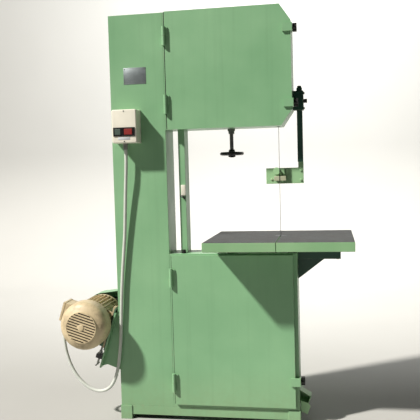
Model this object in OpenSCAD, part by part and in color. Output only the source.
// Vertical band saw with a welded sheet-steel body.
// Millimetres, +Z up, the operator stands on the -Y side, +X to the operator's right.
// The origin is the centre of the four floor anchor holes, at floor level.
// Most modules work in body coordinates: x from the column's left wall, y back from the
// body's front face, z up from the floor. on_body() moves them into the part's frame.

/* [Body] */
// Overall height
body_h = 2150; // [2120:1:2200]
// Width of the column and the lower wheel box together
body_w = 960; // [955:1:970]
// Width of the column and the upper wheel box together
upper_w = 951; // [947:1:954]
// Depth of the column and the wheel boxes, front to back
body_d = 170; // [168:1:172]
// Width of the column
column_w = 292; // [284:1:294]
// Thickness of the body plates
plate = 4; // [3:0.5:5]
// Height of the lower wheel box's top
lower_box_top = 896; // [890:1:900]
// Height of the upper wheel box's underside
upper_box_bottom = 1546; // [1545:1:1556]
// Width of the cut corners on the upper wheel box
corner_w = 56; // [50:1:60]
// Height of the cut corners on the upper wheel box
corner_h = 82; // [76:1:86]

/* [Feet] */
// Width of each foot channel
foot_w = 62; // [58:1:66]
// Height of each foot channel
foot_h = 75; // [72:1:78]
// Length of each foot channel, front to back
foot_l = 430; // [420:2:440]
// Radius of the floor anchor holes
anchor_r = 9; // [7:0.5:10]

/* [Wheels and blade] */
// Diameter of each wheel over its tyre
wheel_d = 508; // [504:1:510]
// Width of each wheel's rim
wheel_w = 32; // [28:1:34]
// Thickness of the rubber tyres
tyre_t = 4; // [3:0.5:6]
// Height of the upper wheel's axle
upper_wheel_z = 1850; // [1848:1:1852]
// Height of the lower wheel's shaft
lower_wheel_z = 590; // [585:1:595]
// Width of the blade
blade_w = 28; // [12:1:28]
// Thickness of the blade
blade_t = 0.9; // [0.6:0.1:1.2]

/* [Table] */
// Width of the table
table_w = 728; // [700:2:740]
// Depth of the table, front to back
table_l = 600; // [580:2:610]
// Height of the table's working face
table_z = 980; // [976:1:984]
// Depth of the table's rim
table_rim = 46; // [44:1:48]

/* [Doors] */
// How far each door stands out from the body
door_d = 16; // [14:1:16]
// Thickness of the door sheet
door_t = 2; // [1.5:0.5:3]
// Outside radius of the hinge barrels
barrel_r = 9; // [8:0.5:9.5]

/* [Motor] */
// Height of the motor's axis above the floor
motor_z = 529; // [525:1:533]
// Angle of the motor plate from the vertical
motor_lean = 17.8; // [17:0.1:18.5]
// Radius of the motor's fan cowl
cowl_r = 128; // [122:1:130]
// Number of cooling fins round the motor
fins = 34; // [26:2:38]
// Pitch radius of the motor pulley
motor_pulley_r = 62.5; // [55:0.5:65]
// Pitch radius of the driven pulley
driven_pulley_r = 125; // [115:1:130]

/* [Starter] */
// Width of the motor starter
starter_w = 131; // [126:1:134]
// Height of the motor starter
starter_h = 172; // [168:1:176]
// How far the starter stands out from the column
starter_d = 88; // [84:1:92]
// Outside diameter of the flexible conduit
conduit_d = 18; // [16:1:20]

/* [Hidden] */
$fn = 96;

green = "#82AF85";
dark_green = "#234137";
steel = "#9A9C9B";
black = "#1A1A1B";
cream = "#F0EBD7";
beige = "#D7C8A5";

e = 1;                                  // how far a cut runs past a face
run = 0.05;                             // radial clearance of a running fit

// Body
body_front = 5 - foot_l / 2;            // the body's front face in the part's frame
inner_d = body_d - plate;
flange_w = 24;                          // front flange round each box opening
box_left = column_w;
seam_x = 305;                           // hinge edge of both doors
rail_z = 25;
foot_x = 28;                            // centre line of the left foot
anchor_y = [40, foot_l - 50];           // anchor holes, from the body's front face
sole = 8;                               // thickness of a foot's bottom flange

// Wheels
wheel_x = 619;
wheel_y = 82;                           // mid-plane of both wheels and the blade
wheel_r = wheel_d / 2;
hub_r = 42;
axle_r = 12.5;
bearing_r = 26;
shaft_r = 17.5;
blade_r = wheel_r + 0.7;                // inside of the blade's loop
blade_x = wheel_x + blade_r;            // cutting run
return_x = wheel_x - blade_r - blade_t; // return run
blade_back = wheel_y + blade_w / 2;

// Tension and tracking
screw_y = 135;
screw_r = 10;
handwheel_z = 1415;
handwheel_r = 64;
slide_y = 146;                          // front face of the carriage plate
tilt_y = 128;                           // tilt pivot
track_z = upper_wheel_z - 35;           // height of the tracking screw
slide_half = 60;

// Table
table_x = 515;
table_y = -255;
table_top_t = 14;
insert_r = 32;
kerf_w = 3;

// Guide
post_x = 983;
post_y = 98;
post_w = 28;
housing_right = post_x + 21;
arm_z = 1250;
arm_t = 8;
arm_y = 112;
post_foot_z = arm_z + 112;              // lower end of the square post, on the arm's tab
post_top_z = 1740;
disc_r = 18.5;
disc_x = blade_x - 16;
disc_z = 1317;

// Doors
door_gap = 1.5;
hinge_x = 302;
hinge_y = -27;
hinge_l = 98;
hinge_zs = [163, 723, 1627, 1976];      // foot of each hinge: two on each door
latch_zs = [231, 1660, 2033];           // centre of each latch
latch_y = 12;

// Motor: local x runs up the motor plate, y back along the shaft, z away from the plate
motor_x = -158;
foot_drop = 112;                        // motor axis to the soles of its feet
base_t = 8;
adjust_drop = 44;                       // adjusting screw's axis above the plate
adjust_z = adjust_drop - foot_drop - base_t;
pulley_y = 246;
pulley_l = 54;
groove_pitch = 17;
belt_w = 12.4;

// Starter
starter_x = 29;
starter_z = 1482;
conduit_x = 84;
conduit_y = -36;

// ---------- helpers ----------

module on_body() translate([-body_w / 2, body_front, 0]) children();

// Draws a flat shape in the x-z plane and gives it a thickness from y to y + l
module along_y(y, l) translate([0, y + l, 0]) rotate([90, 0, 0]) linear_extrude(l) children();

// Draws a flat shape in the y-z plane and gives it a thickness from x to x + l
module along_x(x, l) translate([x, 0, 0]) rotate([90, 0, 90]) linear_extrude(l) children();

module ring(outer, inner) difference() {
    circle(outer);
    circle(inner);
}

module star(r) {
    circle(r * 0.8);
    for (a = [0:60:300]) rotate(a) translate([r * 0.76, 0]) circle(r * 0.24);
}

// Outline of a box in the x-z plane, each side moved in by d; the right corners are cut
function cut_box(x0, z0, x1, z1, cw, ch, d) =
    let (l = norm([cw, ch]), a = cw + d * (l - cw) / ch, b = ch + d * (l - ch) / cw)
    cw == 0
    ? [[x0, z0 + d], [x1 - d, z0 + d], [x1 - d, z1 - d], [x0, z1 - d]]
    : [[x0, z0 + d], [x1 - a, z0 + d], [x1 - d, z0 + b],
       [x1 - d, z1 - b], [x1 - a, z1 - d], [x0, z1 - d]];

function upper_outline(x0, d) =
    cut_box(x0, upper_box_bottom, upper_w, body_h, corner_w, corner_h, d);
function lower_outline(x0, d) = cut_box(x0, foot_h, body_w, lower_box_top, 0, 0, d);

// Walls of a wheel box: outline, cavity and the flange round its door opening
module box_rim(outer, inner, opening) {
    along_y(plate, body_d - plate) difference() {
        polygon(outer);
        polygon(inner);
    }
    along_y(0, plate) difference() {
        polygon(outer);
        polygon(opening);
    }
}

module blade_slots(z) for (x = [blade_x, return_x])
    translate([x - 8, wheel_y - 22, z]) cube([16, 44, 12]);

// ---------- body ----------

module column() color(green) on_body() difference() {
    translate([0, 0, foot_h]) cube([column_w, body_d, body_h - foot_h]);
    translate([plate, plate, foot_h - e])
        cube([column_w - 2 * plate, body_d - 2 * plate, body_h - foot_h - plate + e]);
}

module upper_box_back() color(green) on_body() difference() {
    along_y(inner_d, plate) polygon(upper_outline(box_left, plate));
    along_y(inner_d - e, plate + 2 * e) translate([wheel_x, track_z]) {
        circle(10);
        translate([0, -44]) circle(10);
        translate([-10, -44]) square([20, 44]);
    }
}

module upper_box_rim() color(green) on_body() difference() {
    box_rim(upper_outline(box_left, 0), upper_outline(box_left - e, plate),
            upper_outline(box_left + flange_w, flange_w));
    blade_slots(upper_box_bottom - e);
    translate([wheel_x, screw_y, upper_box_bottom - e]) cylinder(r = 14, h = plate + 2 * e);
}

module lower_box_back() color(green) on_body() difference() {
    along_y(inner_d, plate) polygon(lower_outline(box_left, plate));
    along_y(inner_d - e, plate + 2 * e) translate([wheel_x, lower_wheel_z]) circle(40);
}

module lower_box_rim() color(green) on_body() difference() {
    box_rim(lower_outline(box_left, 0), lower_outline(box_left - e, plate),
            lower_outline(box_left + flange_w, flange_w));
    blade_slots(lower_box_top - plate - e);
}

module foot() difference() {
    union() {
        translate([-foot_w / 2, -5, 0]) cube([foot_w, foot_l, sole]);
        translate([-foot_w / 2, -5, foot_h - 6]) cube([foot_w, foot_l, 6]);
        translate([foot_w / 2 - 6, -5, 0]) cube([6, foot_l, foot_h]);
        for (y = [-5, foot_l - 11]) translate([-foot_w / 2, y, 0]) cube([foot_w, 6, foot_h]);
    }
    for (y = anchor_y) translate([0, y, 0]) {
        translate([0, 0, -e]) cylinder(r = anchor_r, h = sole + 2 * e);
        translate([0, 0, foot_h - 6 - e]) cylinder(r = 20, h = 6 + 2 * e);
    }
}

module base_frame() color(green) on_body() {
    translate([foot_x, 0, 0]) foot();
    translate([body_w - foot_x, 0, 0]) mirror([1, 0, 0]) foot();
    for (y = [0, body_d - 8]) translate([foot_x + foot_w / 2, y, rail_z])
        cube([body_w - 2 * foot_x - foot_w, 8, foot_h - rail_z]);
}

module blade_return_guard() color(green) on_body()
    translate([return_x - 17, 44, lower_box_top])
        difference() {
            cube([35, 93, upper_box_bottom - lower_box_top]);
            translate([2, 2, -e]) cube([31, 93, upper_box_bottom - lower_box_top + 2 * e]);
        }

module table_supports() color(dark_green) on_body() {
    under = table_z - table_rim;
    for (x = [600, 912]) translate([x, 8, lower_box_top]) cube([40, body_d - 16, under - lower_box_top]);
    translate([body_w, 60, under - 76]) difference() {
        cube([220, 50, 76]);
        translate([-e, 5, 6]) cube([220 - 5, 45 + e, 64]);
    }
    along_y(80, 8) polygon([[body_w, under - 182], [body_w + 22, under - 166],
                            [body_w + 139, under - 76], [body_w, under - 76]]);
}

module table_top() color("#4A4C48") on_body() difference() {
    translate([table_x, table_y, table_z - table_rim]) cube([table_w, table_l, table_rim]);
    // four pockets underneath leave the rim and a cross of ribs
    for (i = [0, 1], j = [0, 1])
        translate([table_x + 14 + i * (table_w - 10) / 2, table_y + 14 + j * (table_l - 10) / 2,
                   table_z - table_rim - e])
            cube([(table_w - 46) / 2, (table_l - 46) / 2, table_rim - table_top_t + e]);
    // saw kerf from the front edge, and the seat of the insert
    translate([blade_x - kerf_w / 2 + 0.5, table_y - e, table_z - table_rim - e])
        cube([kerf_w, wheel_y - table_y - insert_r + 4, table_rim + 2 * e]);
    translate([blade_x, wheel_y, table_z - table_rim - e]) cylinder(r = insert_r, h = table_rim + 2 * e);
}

module table_insert() color(steel) on_body() difference() {
    translate([blade_x, wheel_y, table_z - 6]) cylinder(r = insert_r - run, h = 6);
    translate([blade_x - 2, wheel_y - insert_r - e, table_z - 6 - e]) cube([5, insert_r + blade_w / 2 + 4, 8]);
}

module frame_fasteners() color(steel) on_body() {
    under = table_z - table_rim;
    // hex screws up through the table bracket and the rim's underside
    for (x = [1010, 1090, 1165]) translate([x, 99, under - 82]) cylinder(r = 7, h = 5.8, $fn = 6);
    // screws of the guide post housing
    for (z = [1637, 1714]) translate([housing_right, post_y, z]) rotate([0, 90, 0])
        cylinder(r = 6.5, h = 6, $fn = 6);
    // rivets of the nameplate
    for (x = [80, 191], z = [1796, 1870]) translate([x, -1, z]) rotate([90, 0, 0])
        cylinder(r = 2.2, h = 1.4);
    // cover screws of the starter
    for (z = [8, starter_h - 8]) translate([starter_x + starter_w / 2, -starter_d, starter_z + z])
        rotate([90, 0, 0]) cylinder(r = 3.5, h = 1.6);
    // bolts of the shaft housing
    for (i = [-1, 1], j = [-1, 1])
        translate([wheel_x + 60 * i, body_d + 14, lower_wheel_z + 60 * j]) rotate([-90, 0, 0])
            cylinder(r = 9, h = 8, $fn = 6);
}

module hinge_lower_halves() color(green) on_body() for (z = hinge_zs) {
    translate([hinge_x, hinge_y, z]) cylinder(r = barrel_r, h = hinge_l / 2 - 0.5);
    translate([hinge_x, hinge_y, z]) cylinder(r = 5, h = hinge_l - 12);
    translate([hinge_x - 13, hinge_y, z + 4]) cube([8, -hinge_y, hinge_l / 2 - 12]);
}

module nameplate() color("#6E716C") on_body() translate([75, -1, 1790]) cube([121, 1, 86]);

// ---------- starter ----------

module starter_base() color(cream) on_body() {
    // back box with a pressed rim
    translate([starter_x, -30, starter_z]) difference() {
        cube([starter_w, 30, starter_h]);
        translate([3, -e, 3]) cube([starter_w - 6, 28, starter_h - 6]);
    }
    // contactor and overload relay
    translate([starter_x + 28, -55, starter_z + 84]) cube([68, 51, 72]);
    translate([starter_x + 33, -50, starter_z + 46]) cube([58, 46, 34]);
}

module starter_cover() color(cream) on_body() difference() {
    translate([starter_x, -starter_d, starter_z]) cube([starter_w, starter_d - 30.2, starter_h]);
    translate([starter_x + 3, 3 - starter_d, starter_z + 3])
        cube([starter_w - 6, starter_d, starter_h - 6]);
    translate([starter_x + 12, -starter_d - e, starter_z + 39]) cube([starter_w - 24, 10, 36]);
}

module starter_bezel() color(black) on_body() difference() {
    translate([starter_x + 8, -starter_d - 4, starter_z + 35]) cube([starter_w - 16, 4, 45]);
    for (b = [[16, 32], [66, 44]])
        translate([starter_x + b[0], -starter_d - 4 - e, starter_z + 42]) cube([b[1], 4 + 2 * e, 31]);
}

module push_button(dx, w) on_body()
    translate([starter_x + dx + 0.4, -starter_d - 5.5, starter_z + 42.4]) cube([w - 0.8, 14, 30.2]);

module start_button() color("#4C5A54") push_button(16, 32);

module stop_button() color("#8C3230") push_button(66, 44);

module starter_gland() color("#5A5C5B") on_body() {
    translate([conduit_x, conduit_y, starter_z - 10]) cylinder(r = 15, h = 10, $fn = 6);
    translate([conduit_x, conduit_y, starter_z - 32]) cylinder(r = 12.5, h = 22);
}

// ---------- blade and wheels ----------

// Outline of the blade's loop, or of anything at a distance r from the two axles
module loop(r) {
    translate([wheel_x, upper_wheel_z]) circle(r);
    translate([wheel_x, lower_wheel_z]) circle(r);
    translate([wheel_x - r, lower_wheel_z]) square([2 * r, upper_wheel_z - lower_wheel_z]);
}

module blade() color("#8A8C8B") on_body() along_y(wheel_y - blade_w / 2, blade_w) difference() {
    loop(blade_r + blade_t, $fn = 180);
    loop(blade_r, $fn = 180);
}

module wheel(z, bore) on_body() {
    along_y(wheel_y - wheel_w / 2, wheel_w) translate([wheel_x, z])
        ring(wheel_r - tyre_t, wheel_r - tyre_t - 24);
    along_y(wheel_y - 4, 8) translate([wheel_x, z]) difference() {
        ring(wheel_r - tyre_t - 23, hub_r - 1);
        for (a = [30:60:330]) rotate(a) translate([134, 0]) circle(42);
    }
    along_y(wheel_y - 20, 42) translate([wheel_x, z]) ring(hub_r, bore);
    // ribs between the openings
    for (a = [0:60:300]) translate([wheel_x, wheel_y - 12, z]) rotate([0, a, 0])
        translate([hub_r - 1, 0, -4]) cube([wheel_r - tyre_t - hub_r - 22, 24, 8]);
}

module tyre(z) on_body() along_y(wheel_y - wheel_w / 2, wheel_w) translate([wheel_x, z])
    ring(wheel_r, wheel_r - tyre_t);

module upper_wheel() color("#6F7473") wheel(upper_wheel_z, bearing_r);
module upper_tyre() color(black) tyre(upper_wheel_z);
module lower_wheel() color("#6F7473") wheel(lower_wheel_z, shaft_r);
module lower_tyre() color(black) tyre(lower_wheel_z);

module upper_wheel_bearings() color(steel) on_body() for (y = [wheel_y - 19, wheel_y + 6])
    along_y(y, 15) translate([wheel_x, upper_wheel_z]) ring(bearing_r, axle_r + run);

module lower_shaft() color(steel) on_body() {
    along_y(56, pulley_y + pulley_l + 10 - 56) translate([wheel_x, lower_wheel_z]) circle(shaft_r);
    along_y(52, 9.8) translate([wheel_x, lower_wheel_z]) circle(26);
}

module shaft_housing() color("#4F6B55") on_body() {
    // cast housing
    along_y(body_d, 14) translate([wheel_x, lower_wheel_z]) difference() {
        translate([-76, -76]) square(152);
        circle(36);
    }
    along_y(body_d + 14, 52) translate([wheel_x, lower_wheel_z]) ring(50, 36);
    // two ball bearings
    for (y = [body_d + 3, body_d + 46]) along_y(y, 17) translate([wheel_x, lower_wheel_z])
        ring(35.9, shaft_r + run);
}

module grooved_pulley(r, bore) difference() {
    along_y(pulley_y, pulley_l) ring(r + 5, bore);
    for (i = [-1, 0, 1]) along_y(pulley_y + pulley_l / 2 + i * groove_pitch - 6.6, 13.2)
        ring(r + 6, r - 6);
}

module driven_pulley() color("#5A5E5C") on_body() translate([wheel_x, 0, lower_wheel_z])
    grooved_pulley(driven_pulley_r, shaft_r);

module wheel_brush() color("#6B4A2B") on_body() translate([wheel_x, 0, lower_wheel_z])
    rotate([0, 135, 0]) {
        translate([wheel_r + 2.5, wheel_y - 12, -15]) cube([10, 24, 30]);
        translate([wheel_r + 12.5, wheel_y - 15, -18]) cube([10, inner_d - wheel_y + 15, 36]);
    }

// ---------- tension and tracking ----------

module tension_slides() color(steel) on_body() {
    // two gibs on the box back
    for (side = [0, 1]) translate([wheel_x, 0, 1700]) mirror([side, 0, 0])
        linear_extrude(300) polygon([[48, 138], [80, 138], [80, inner_d], [48, inner_d],
                                     [48, 156.1], [60.1, 156.1], [60.1, 145.9], [48, 145.9]]);
    // thrust bearing under the box
    translate([wheel_x, screw_y, upper_box_bottom - 12]) difference() {
        cylinder(r = 20, h = 12);
        translate([0, 0, -e]) cylinder(r = screw_r + run, h = 14);
    }
}

module tension_carriage() color("#55605A") on_body() {
    z = upper_wheel_z;
    difference() {
        union() {
            translate([wheel_x - slide_half, slide_y, z - 85]) cube([2 * slide_half, 10, 170]);
            for (x = [31, -44]) translate([wheel_x + x, 112, z - 30]) cube([13, slide_y - 112, 60]);
            translate([wheel_x - 20, 121, z - 85]) cube([40, slide_y - 121, 20]);
        }
        translate([wheel_x - 50, tilt_y, z]) rotate([0, 90, 0]) cylinder(r = 8, h = 100);
        translate([wheel_x, screw_y, z - 90]) cylinder(r = 12, h = 40);
        along_y(slide_y - e, 12) translate([wheel_x, track_z]) circle(6 + run);
    }
    // pivot pin of the tilt block
    translate([wheel_x - 44, tilt_y, z]) rotate([0, 90, 0]) cylinder(r = 8, h = 88);
    // tension nut under the spring
    translate([wheel_x - 18, 120, z - 160]) difference() {
        cube([36, 26, 22]);
        translate([18, 15, -e]) cylinder(r = screw_r + run, h = 24);
    }
}

module tension_spring() color(steel) on_body() translate([wheel_x, screw_y, upper_wheel_z - 138])
    difference() {
        cylinder(r = 17, h = 53);
        translate([0, 0, -e]) cylinder(r = 12.2, h = 55);
    }

module tension_screw() color(steel) on_body() {
    translate([wheel_x, screw_y, handwheel_z - 20]) cylinder(r = screw_r, h = 1755 - handwheel_z + 20);
    translate([wheel_x, screw_y, upper_box_bottom - 26]) cylinder(r = 16, h = 13.9);
}

module tension_handwheel() color(black) on_body() translate([wheel_x, screw_y, handwheel_z]) {
    rotate_extrude() translate([handwheel_r - 9, 0]) circle(9);
    difference() {
        translate([0, 0, -18]) cylinder(r = 19, h = 40);
        translate([0, 0, -20]) cylinder(r = screw_r + run, h = 44);
    }
    for (a = [30:120:270]) rotate(a) translate([17, 0, 0]) rotate([0, 90, 0])
        cylinder(r = 6.5, h = handwheel_r - 28);
}

module tilt_block() color(steel) on_body() {
    difference() {
        translate([wheel_x - 30.5, 116, upper_wheel_z - 45]) cube([61, 24, 90]);
        translate([wheel_x - 40, tilt_y, upper_wheel_z]) rotate([0, 90, 0])
            cylinder(r = 8 + run, h = 80);
    }
    // axle, its shoulder and its end washer
    along_y(54, 62) translate([wheel_x, upper_wheel_z]) circle(axle_r);
    along_y(105, 11) translate([wheel_x, upper_wheel_z]) circle(18);
    along_y(54, 7.5) translate([wheel_x, upper_wheel_z]) circle(19);
}

module tracking_knob() color(black) on_body() {
    along_y(141, body_d + 8 - 141) translate([wheel_x, track_z]) circle(6);
    along_y(body_d + 8, 22) translate([wheel_x, track_z]) star(28);
}

// ---------- doors ----------

// A folded pan with its hinge halves and lugs; the skin faces the operator
module door(outer, inner, hinges, latches, side_x) color(green) on_body() {
    along_y(-door_d, door_t) polygon(outer);
    along_y(door_t - door_d, door_d - door_t - door_gap) difference() {
        polygon(outer);
        polygon(inner);
    }
    for (z = hinges) translate([hinge_x, hinge_y, z + hinge_l / 2 + 0.5]) {
        difference() {
            cylinder(r = barrel_r, h = hinge_l / 2 - 0.5);
            translate([0, 0, -e]) cylinder(r = 5 + run, h = hinge_l / 2 - 10);
        }
        translate([4, 5, 4]) cube([16, 7, hinge_l / 2 - 9]);
    }
    for (z = latches) difference() {
        union() {
            translate([side_x - 42, -door_d - 10, z - 21]) cube([49.5, 10, 42]);
            translate([side_x + 2.5, -door_d, z - 21]) cube([5, door_d + 28, 42]);
        }
        along_x(side_x, 12) translate([latch_y, z]) circle(4 + run);
    }
}

module upper_door() door(upper_outline(seam_x, 0), upper_outline(seam_x + door_t, door_t),
    [hinge_zs[2], hinge_zs[3]], [latch_zs[1], latch_zs[2]], upper_w);

module lower_door() {
    door(cut_box(seam_x, 92, body_w - 20, lower_box_top - 8, 0, 0, 0),
         cut_box(seam_x + door_t, 92, body_w - 20, lower_box_top - 8, 0, 0, door_t),
         [hinge_zs[0], hinge_zs[1]], [latch_zs[0]], body_w);
}

module latch(z, side_x) color(black) on_body() {
    along_x(side_x + 0.4, 12) translate([latch_y, z]) circle(4);
    along_x(side_x + 9, 20) translate([latch_y, z]) star(23);
}

module lower_latch() latch(latch_zs[0], body_w);
module upper_bottom_latch() latch(latch_zs[1], upper_w);
module upper_top_latch() latch(latch_zs[2], upper_w);

// ---------- blade guides ----------

module guide_post_housing() color(dark_green) on_body() difference() {
    translate([upper_w, 74, 1626]) cube([housing_right - upper_w, 48, 99]);
    translate([post_x - post_w / 2 - 0.1, post_y - post_w / 2 - 0.1, 1620])
        cube([post_w + 0.2, post_w + 0.2, 110]);
    along_x(housing_right - 14, 20) translate([post_y, 1674]) circle(5 + run);
}

module guide_post() color(dark_green) on_body() {
    back = post_y + post_w / 2;
    translate([post_x - post_w / 2, back - post_w, post_foot_z])
        cube([post_w, post_w, post_top_z - post_foot_z]);
    translate([post_x, post_y, post_top_z]) cylinder(r1 = 13, r2 = 9, h = 12);
    // tongue behind the arm, welded to the back of the post
    translate([post_x - 13, back, post_foot_z]) cube([26, arm_t + 6, 18]);
    translate([post_x - 13, arm_y + arm_t, arm_z + 4]) cube([26, 6, post_foot_z + 18 - arm_z - 4]);
}

module guide_lock_knob() color(steel) on_body() {
    along_x(post_x + post_w / 2 + 0.2, 14) translate([post_y, 1674]) circle(5);
    along_x(housing_right + 1, 17) translate([post_y, 1674]) star(11);
}

// Guide blocks beside the blade, held on bars that reach back to a plate at y
module guide_blocks(z, y) {
    translate([blade_x - 28.3, y - 40, z]) cube([28, 24, 24]);
    translate([blade_x - 27, y - 16, z + 4]) cube([20, 16, 16]);
    translate([blade_x + blade_t + 0.3, y - 40, z]) cube([32, 24, 24]);
    translate([blade_x + blade_t + 8, y - 16, z + 4]) cube([20, 16, 16]);
}

module guide_arm() color("#93BE90") on_body() {
    difference() {
        union() {
            translate([802, arm_y, arm_z]) cube([post_x + 14 - 802, arm_t, 82]);
            translate([post_x - 13, arm_y, arm_z + 82]) cube([27, arm_t, 30]);
        }
        along_y(arm_y - e, arm_t + 2 * e) translate([disc_x, disc_z]) circle(6 + run);
    }
    guide_blocks(1266, arm_y);
    // blade guard strip
    translate([906, arm_y - 10, 1297]) cube([10, 10, 28]);
    // screw heads
    for (p = [[post_x, 1318], [post_x, 1268], [830, 1274]]) along_y(arm_y - 5, 5)
        translate([p[0], p[1]]) circle(6.5, $fn = 6);
}

module thrust_disc(y, z) on_body() {
    along_y(blade_back + 0.4, 11) translate([disc_x, z]) circle(disc_r);
    along_y(blade_back + 11.4, y + arm_t - blade_back - 11.4) translate([disc_x, z]) circle(6);
}

module upper_thrust_disc() color(steel) thrust_disc(arm_y, disc_z);
module lower_thrust_disc() color(steel) thrust_disc(arm_y, lower_box_top - 26);

// Lower guide, under the table on the top of the lower box
module lower_guide() color("#4F6B55") on_body() {
    z = lower_box_top;
    difference() {
        translate([blade_x - 50, arm_y, z - 66]) cube([90, arm_t, 62]);
        along_y(arm_y - e, arm_t + 2 * e) translate([disc_x, z - 26]) circle(6 + run);
    }
    translate([blade_x - 50, arm_y + arm_t, z - 16]) cube([90, 34, 12]);
    guide_blocks(z - 72, arm_y);
}

module sawdust_chute() color("#93BE90") on_body() {
    duct = [[body_w, 171], [1018, 138], [1003, 99], [body_w, 112]];
    hollow = [[body_w - e, 168], [1014, 137], [1001, 102.6], [body_w - e, 115]];
    difference() {
        along_y(45, 70) polygon(duct);
        along_y(45 - e, 68) polygon(hollow);
    }
    // flap under the duct
    along_y(45, 4) polygon([[964, 112.5], [1002, 101], [1013, 86], [996, 42], [964, 58]]);
}

// ---------- motor and drive ----------

module at_motor() on_body() translate([motor_x, 0, motor_z]) rotate([0, motor_lean - 90, 0])
    children();

// A point of the motor's frame, in body coordinates
function motor_pt(x, z) = [motor_x + x * sin(motor_lean) - z * cos(motor_lean),
                           motor_z + x * cos(motor_lean) + z * sin(motor_lean)];

module motor_bracket() color(green) {
    top = motor_pt(92, -foot_drop - 2 * base_t);
    foot = motor_pt(-215, -foot_drop - 2 * base_t);
    at_motor() translate([-220, -20, -foot_drop - 2 * base_t]) cube([312, 220, base_t]);
    on_body() {
        for (y = [12, 150]) along_y(y, 8)
            polygon([foot, top, [-8, top[1] + 4], [-8, 272], [-20, 272], [-75, 292]]);
        translate([-8, 4, 268]) cube([8, 162, top[1] - 256]);
    }
    // block that carries the adjusting screw
    at_motor() difference() {
        translate([-207, 66, -foot_drop - base_t]) cube([22, 48, adjust_drop + 15]);
        translate([-210, 90, adjust_z]) rotate([0, 90, 0]) cylinder(r = 6 + run, h = 30);
    }
}

module adjusting_screw() color(steel) at_motor() {
    translate([-248, 90, adjust_z]) rotate([0, 90, 0]) cylinder(r = 6, h = 112);
    translate([-248, 62, adjust_z]) rotate([-90, 0, 0]) cylinder(r = 4.5, h = 56);
    translate([-178, 90, adjust_z]) rotate([0, 90, 0]) cylinder(r = 9.5, h = 10, $fn = 6);
}

module motor_base() color("#5E6B60") at_motor() {
    difference() {
        union() {
            translate([-125, -10, -foot_drop - base_t + 0.2]) cube([237, 200, base_t - 0.2]);
            translate([-136, 66, -foot_drop - base_t + 0.2]) cube([14, 48, adjust_drop + 12]);
        }
        for (x = [-95, 95], y = [20, 160]) translate([x, y, -foot_drop - 10]) cylinder(r = 6, h = 12);
    }
    // foot bolts
    for (x = [-95, 95], y = [20, 160]) translate([x, y, 0]) {
        translate([0, 0, -foot_drop - base_t + 0.5]) cylinder(r = 5.8, h = 22);
        translate([0, 0, -foot_drop + 12.2]) cylinder(r = 10, h = 7, $fn = 6);
    }
}

module motor_frame() color(beige) at_motor() {
    // finned stator, flat under the feet and under the terminal box
    along_y(-35, 230) difference() {
        union() {
            ring(98, 72);
            for (i = [0:fins - 1]) rotate((i + 0.5) * 360 / fins) translate([96, -1.7]) square([18, 3.4]);
        }
        translate([-70, 100]) square([140, 30]);
        translate([-90, -130]) square([180, 30]);
    }
    // feet
    difference() {
        for (s = [-1, 1], y = [5, 145]) translate([s * 91 - 27, y, -foot_drop]) cube([54, 30, 12]);
        for (x = [-95, 95], y = [20, 160]) translate([x, y, -foot_drop - e]) cylinder(r = 6, h = 20);
    }
    for (s = [-1, 1], y = [5, 145]) along_y(y + 11, 8)
        polygon([[s * 66, -foot_drop + 12], [s * 80, -foot_drop + 12], [s * 92, -40], [s * 80, -40]]);
    // pedestal of the terminal box
    translate([-42, 14, 90]) cube([84, 92, 22]);
    // end shields
    along_y(195, 16) ring(110, 14 + run);
    along_y(211, 10) ring(48, 14 + run);
    along_y(-49, 14) ring(104, 14 + run);
    for (a = [45:90:315]) rotate([0, a, 0]) translate([98, -47, -8]) cube([cowl_r - 2.8 - 98, 10, 16]);
}

// Half length of a cowl slot, on a disc of radius 79
slot_w = 6.4;
slot_gap = 14.2;
function slot_half(i) = sqrt(79 * 79 - pow(slot_gap * i, 2));

module fan_cowl() color(beige) at_motor() rotate([90, 0, 0]) difference() {
    rotate_extrude() polygon([
        [cowl_r, 40], [cowl_r, 96], [cowl_r - 2, 110], [cowl_r - 10, 124], [cowl_r - 24, 135],
        [cowl_r - 43, 144], [cowl_r - 46, 150], [0, 150], [0, 147.5], [cowl_r - 48, 147.5],
        [cowl_r - 45, 141.5], [cowl_r - 26, 132.5], [cowl_r - 12.5, 122], [cowl_r - 4.5, 109],
        [cowl_r - 2.5, 96], [cowl_r - 2.5, 40]]);
    // eleven slots level with the feet, the middle one broken by the hub
    for (i = [-5:5]) if (i != 0) translate([i * slot_gap - slot_w / 2, -slot_half(i), 140])
        cube([slot_w, 2 * slot_half(i), 20]);
    for (s = [-1, 1]) translate([-slot_w / 2, s * 50 - 27, 140]) cube([slot_w, 54, 20]);
}

module terminal_box() color(beige) at_motor() {
    difference() {
        translate([-50, 6, 112.2]) cube([100, 104, 54]);
        translate([-46, 10, 116]) cube([92, 96, 60]);
    }
    translate([-52, 4, 166.4]) cube([104, 108, 11]);
    // conduit gland
    translate([-50, 34, 138]) rotate([0, -90, 0]) cylinder(r = 15, h = 10, $fn = 6);
    translate([-60, 34, 138]) rotate([0, -90, 0]) cylinder(r = 12.5, h = 24);
}

module motor_shaft() color(steel) at_motor() {
    along_y(-100, pulley_y + pulley_l + 104) circle(14);
    // cooling fan
    along_y(-98, 34) ring(26, 14);
    for (a = [0:45:315]) rotate([0, a, 0]) translate([24, -96, -2]) cube([76, 30, 4]);
}

module motor_pulley() color("#5A5E5C") at_motor() grooved_pulley(motor_pulley_r, 14);

// The outline of an open belt round the two pulleys, at a distance d from their pitch circles
module belt_outline(d) {
    $fn = 64;
    hull() {
        circle(driven_pulley_r + d);
        translate([motor_x - wheel_x, motor_z - lower_wheel_z]) circle(motor_pulley_r + d);
    }
}

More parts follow.
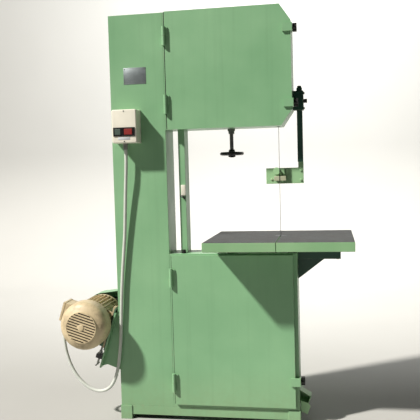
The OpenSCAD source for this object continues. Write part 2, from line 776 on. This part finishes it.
module belts() color(black) on_body() translate([wheel_x, 0, lower_wheel_z]) for (i = [-1, 0, 1])
    along_y(pulley_y + pulley_l / 2 + i * groove_pitch - belt_w / 2, belt_w) difference() {
        belt_outline(4.5);
        belt_outline(-4.5);
    }

module guard_outline(d) {
    c = [motor_x - wheel_x, motor_z - lower_wheel_z];
    circle(165 - d);
    translate(c) circle(115 - d);
    polygon([[0, 165 - d], [0, d - 165], c + [0, d - 115], c + [0, 115 - d]]);
}

module belt_guard() color(green) on_body() translate([wheel_x, 0, lower_wheel_z]) {
    // rim and back sheet, open towards the body
    difference() {
        along_y(232, 88) guard_outline(0);
        along_y(232 - e, 87) guard_outline(2);
    }
    // stand-off feet from the lower box and the column
    for (p = [[-250, 115], [-250, -100], [110, 110], [110, -110]])
        translate([p[0], body_d, p[1]]) rotate([-90, 0, 0]) cylinder(r = 8, h = 148);
}

// ---------- conduit ----------

// Flexible conduit from the starter's gland to the gland of the terminal box
conduit_route = [
    [84, -36, 1449.8], [84, -36, 1395], [80, -34, 1320], [73, -29, 1230], [66, -24, 1130],
    [59, -19, 1025], [50, -17, 930], [41, -16, 840], [32, -15, 740], [25, -15, 640],
    [19, -14, 540], [13, -14, 440], [4, -14, 355], [-8, -13, 285], [-26, -10, 225],
    [-54, -5, 178], [-92, 1, 152], [-136, 7, 146], [-184, 13, 160], [-228, 19, 190],
    [-266, 25, 232], [-296, 30, 286], [-316, 33, 346], [-326, 34, 405], [-328, 34, 455]
];
conduit_steps = 3;

function route_point(p, i, t) =
    let (n = len(p) - 1, a = p[max(i - 1, 0)], b = p[i], c = p[min(i + 1, n)], d = p[min(i + 2, n)])
    0.5 * (2 * b + (c - a) * t + (2 * a - 5 * b + 4 * c - d) * t * t + (3 * b - a - 3 * c + d) * t * t * t);

function swept_points(p, steps) = [
    for (i = [0:len(p) - 2], k = [0:steps - 1]) route_point(p, i, k / steps), p[len(p) - 1]];

function unit(v) = v / norm(v);

module swept_tube(path, r, sides) {
    n = len(path);
    rings = [for (i = [0:n - 1])
        let (t = unit(path[min(i + 1, n - 1)] - path[max(i - 1, 0)]),
             u = unit(cross(t, [0, 1, 0])), v = cross(t, u))
        for (k = [0:sides - 1]) path[i] + r * (cos(360 * k / sides) * u + sin(360 * k / sides) * v)];
    polyhedron(rings, concat(
        [[for (k = [0:sides - 1]) k]],
        [for (i = [0:n - 2], k = [0:sides - 1])
            [i * sides + k, (i + 1) * sides + k, (i + 1) * sides + (k + 1) % sides,
             i * sides + (k + 1) % sides]],
        [[for (k = [sides - 1:-1:0]) (n - 1) * sides + k]]));
}

module conduit() color("#9A9D9C") on_body() {
    gland = motor_pt(-85.4, 138);
    route = concat(conduit_route, [[gland[0], 34, gland[1]]]);
    swept_tube(swept_points(route, conduit_steps), conduit_d / 2, 10);
}

column();
upper_box_back();
upper_box_rim();
lower_box_back();
lower_box_rim();
base_frame();
blade_return_guard();
table_supports();
table_top();
table_insert();
frame_fasteners();
hinge_lower_halves();
nameplate();
starter_base();
starter_cover();
starter_bezel();
starter_gland();
blade();
shaft_housing();
tension_slides();
guide_post_housing();
lower_guide();
wheel_brush();
sawdust_chute();
motor_bracket();
belt_guard();
conduit();
upper_door();
lower_door();
upper_top_latch();
upper_bottom_latch();
lower_latch();
tension_carriage();
tension_spring();
tension_screw();
tension_handwheel();
tilt_block();
tracking_knob();
upper_wheel();
upper_tyre();
upper_wheel_bearings();
lower_wheel();
lower_tyre();
lower_shaft();
driven_pulley();
motor_frame();
fan_cowl();
terminal_box();
motor_base();
motor_shaft();
motor_pulley();
adjusting_screw();
belts();
guide_post();
guide_arm();
upper_thrust_disc();
guide_lock_knob();
lower_thrust_disc();
start_button();
stop_button();
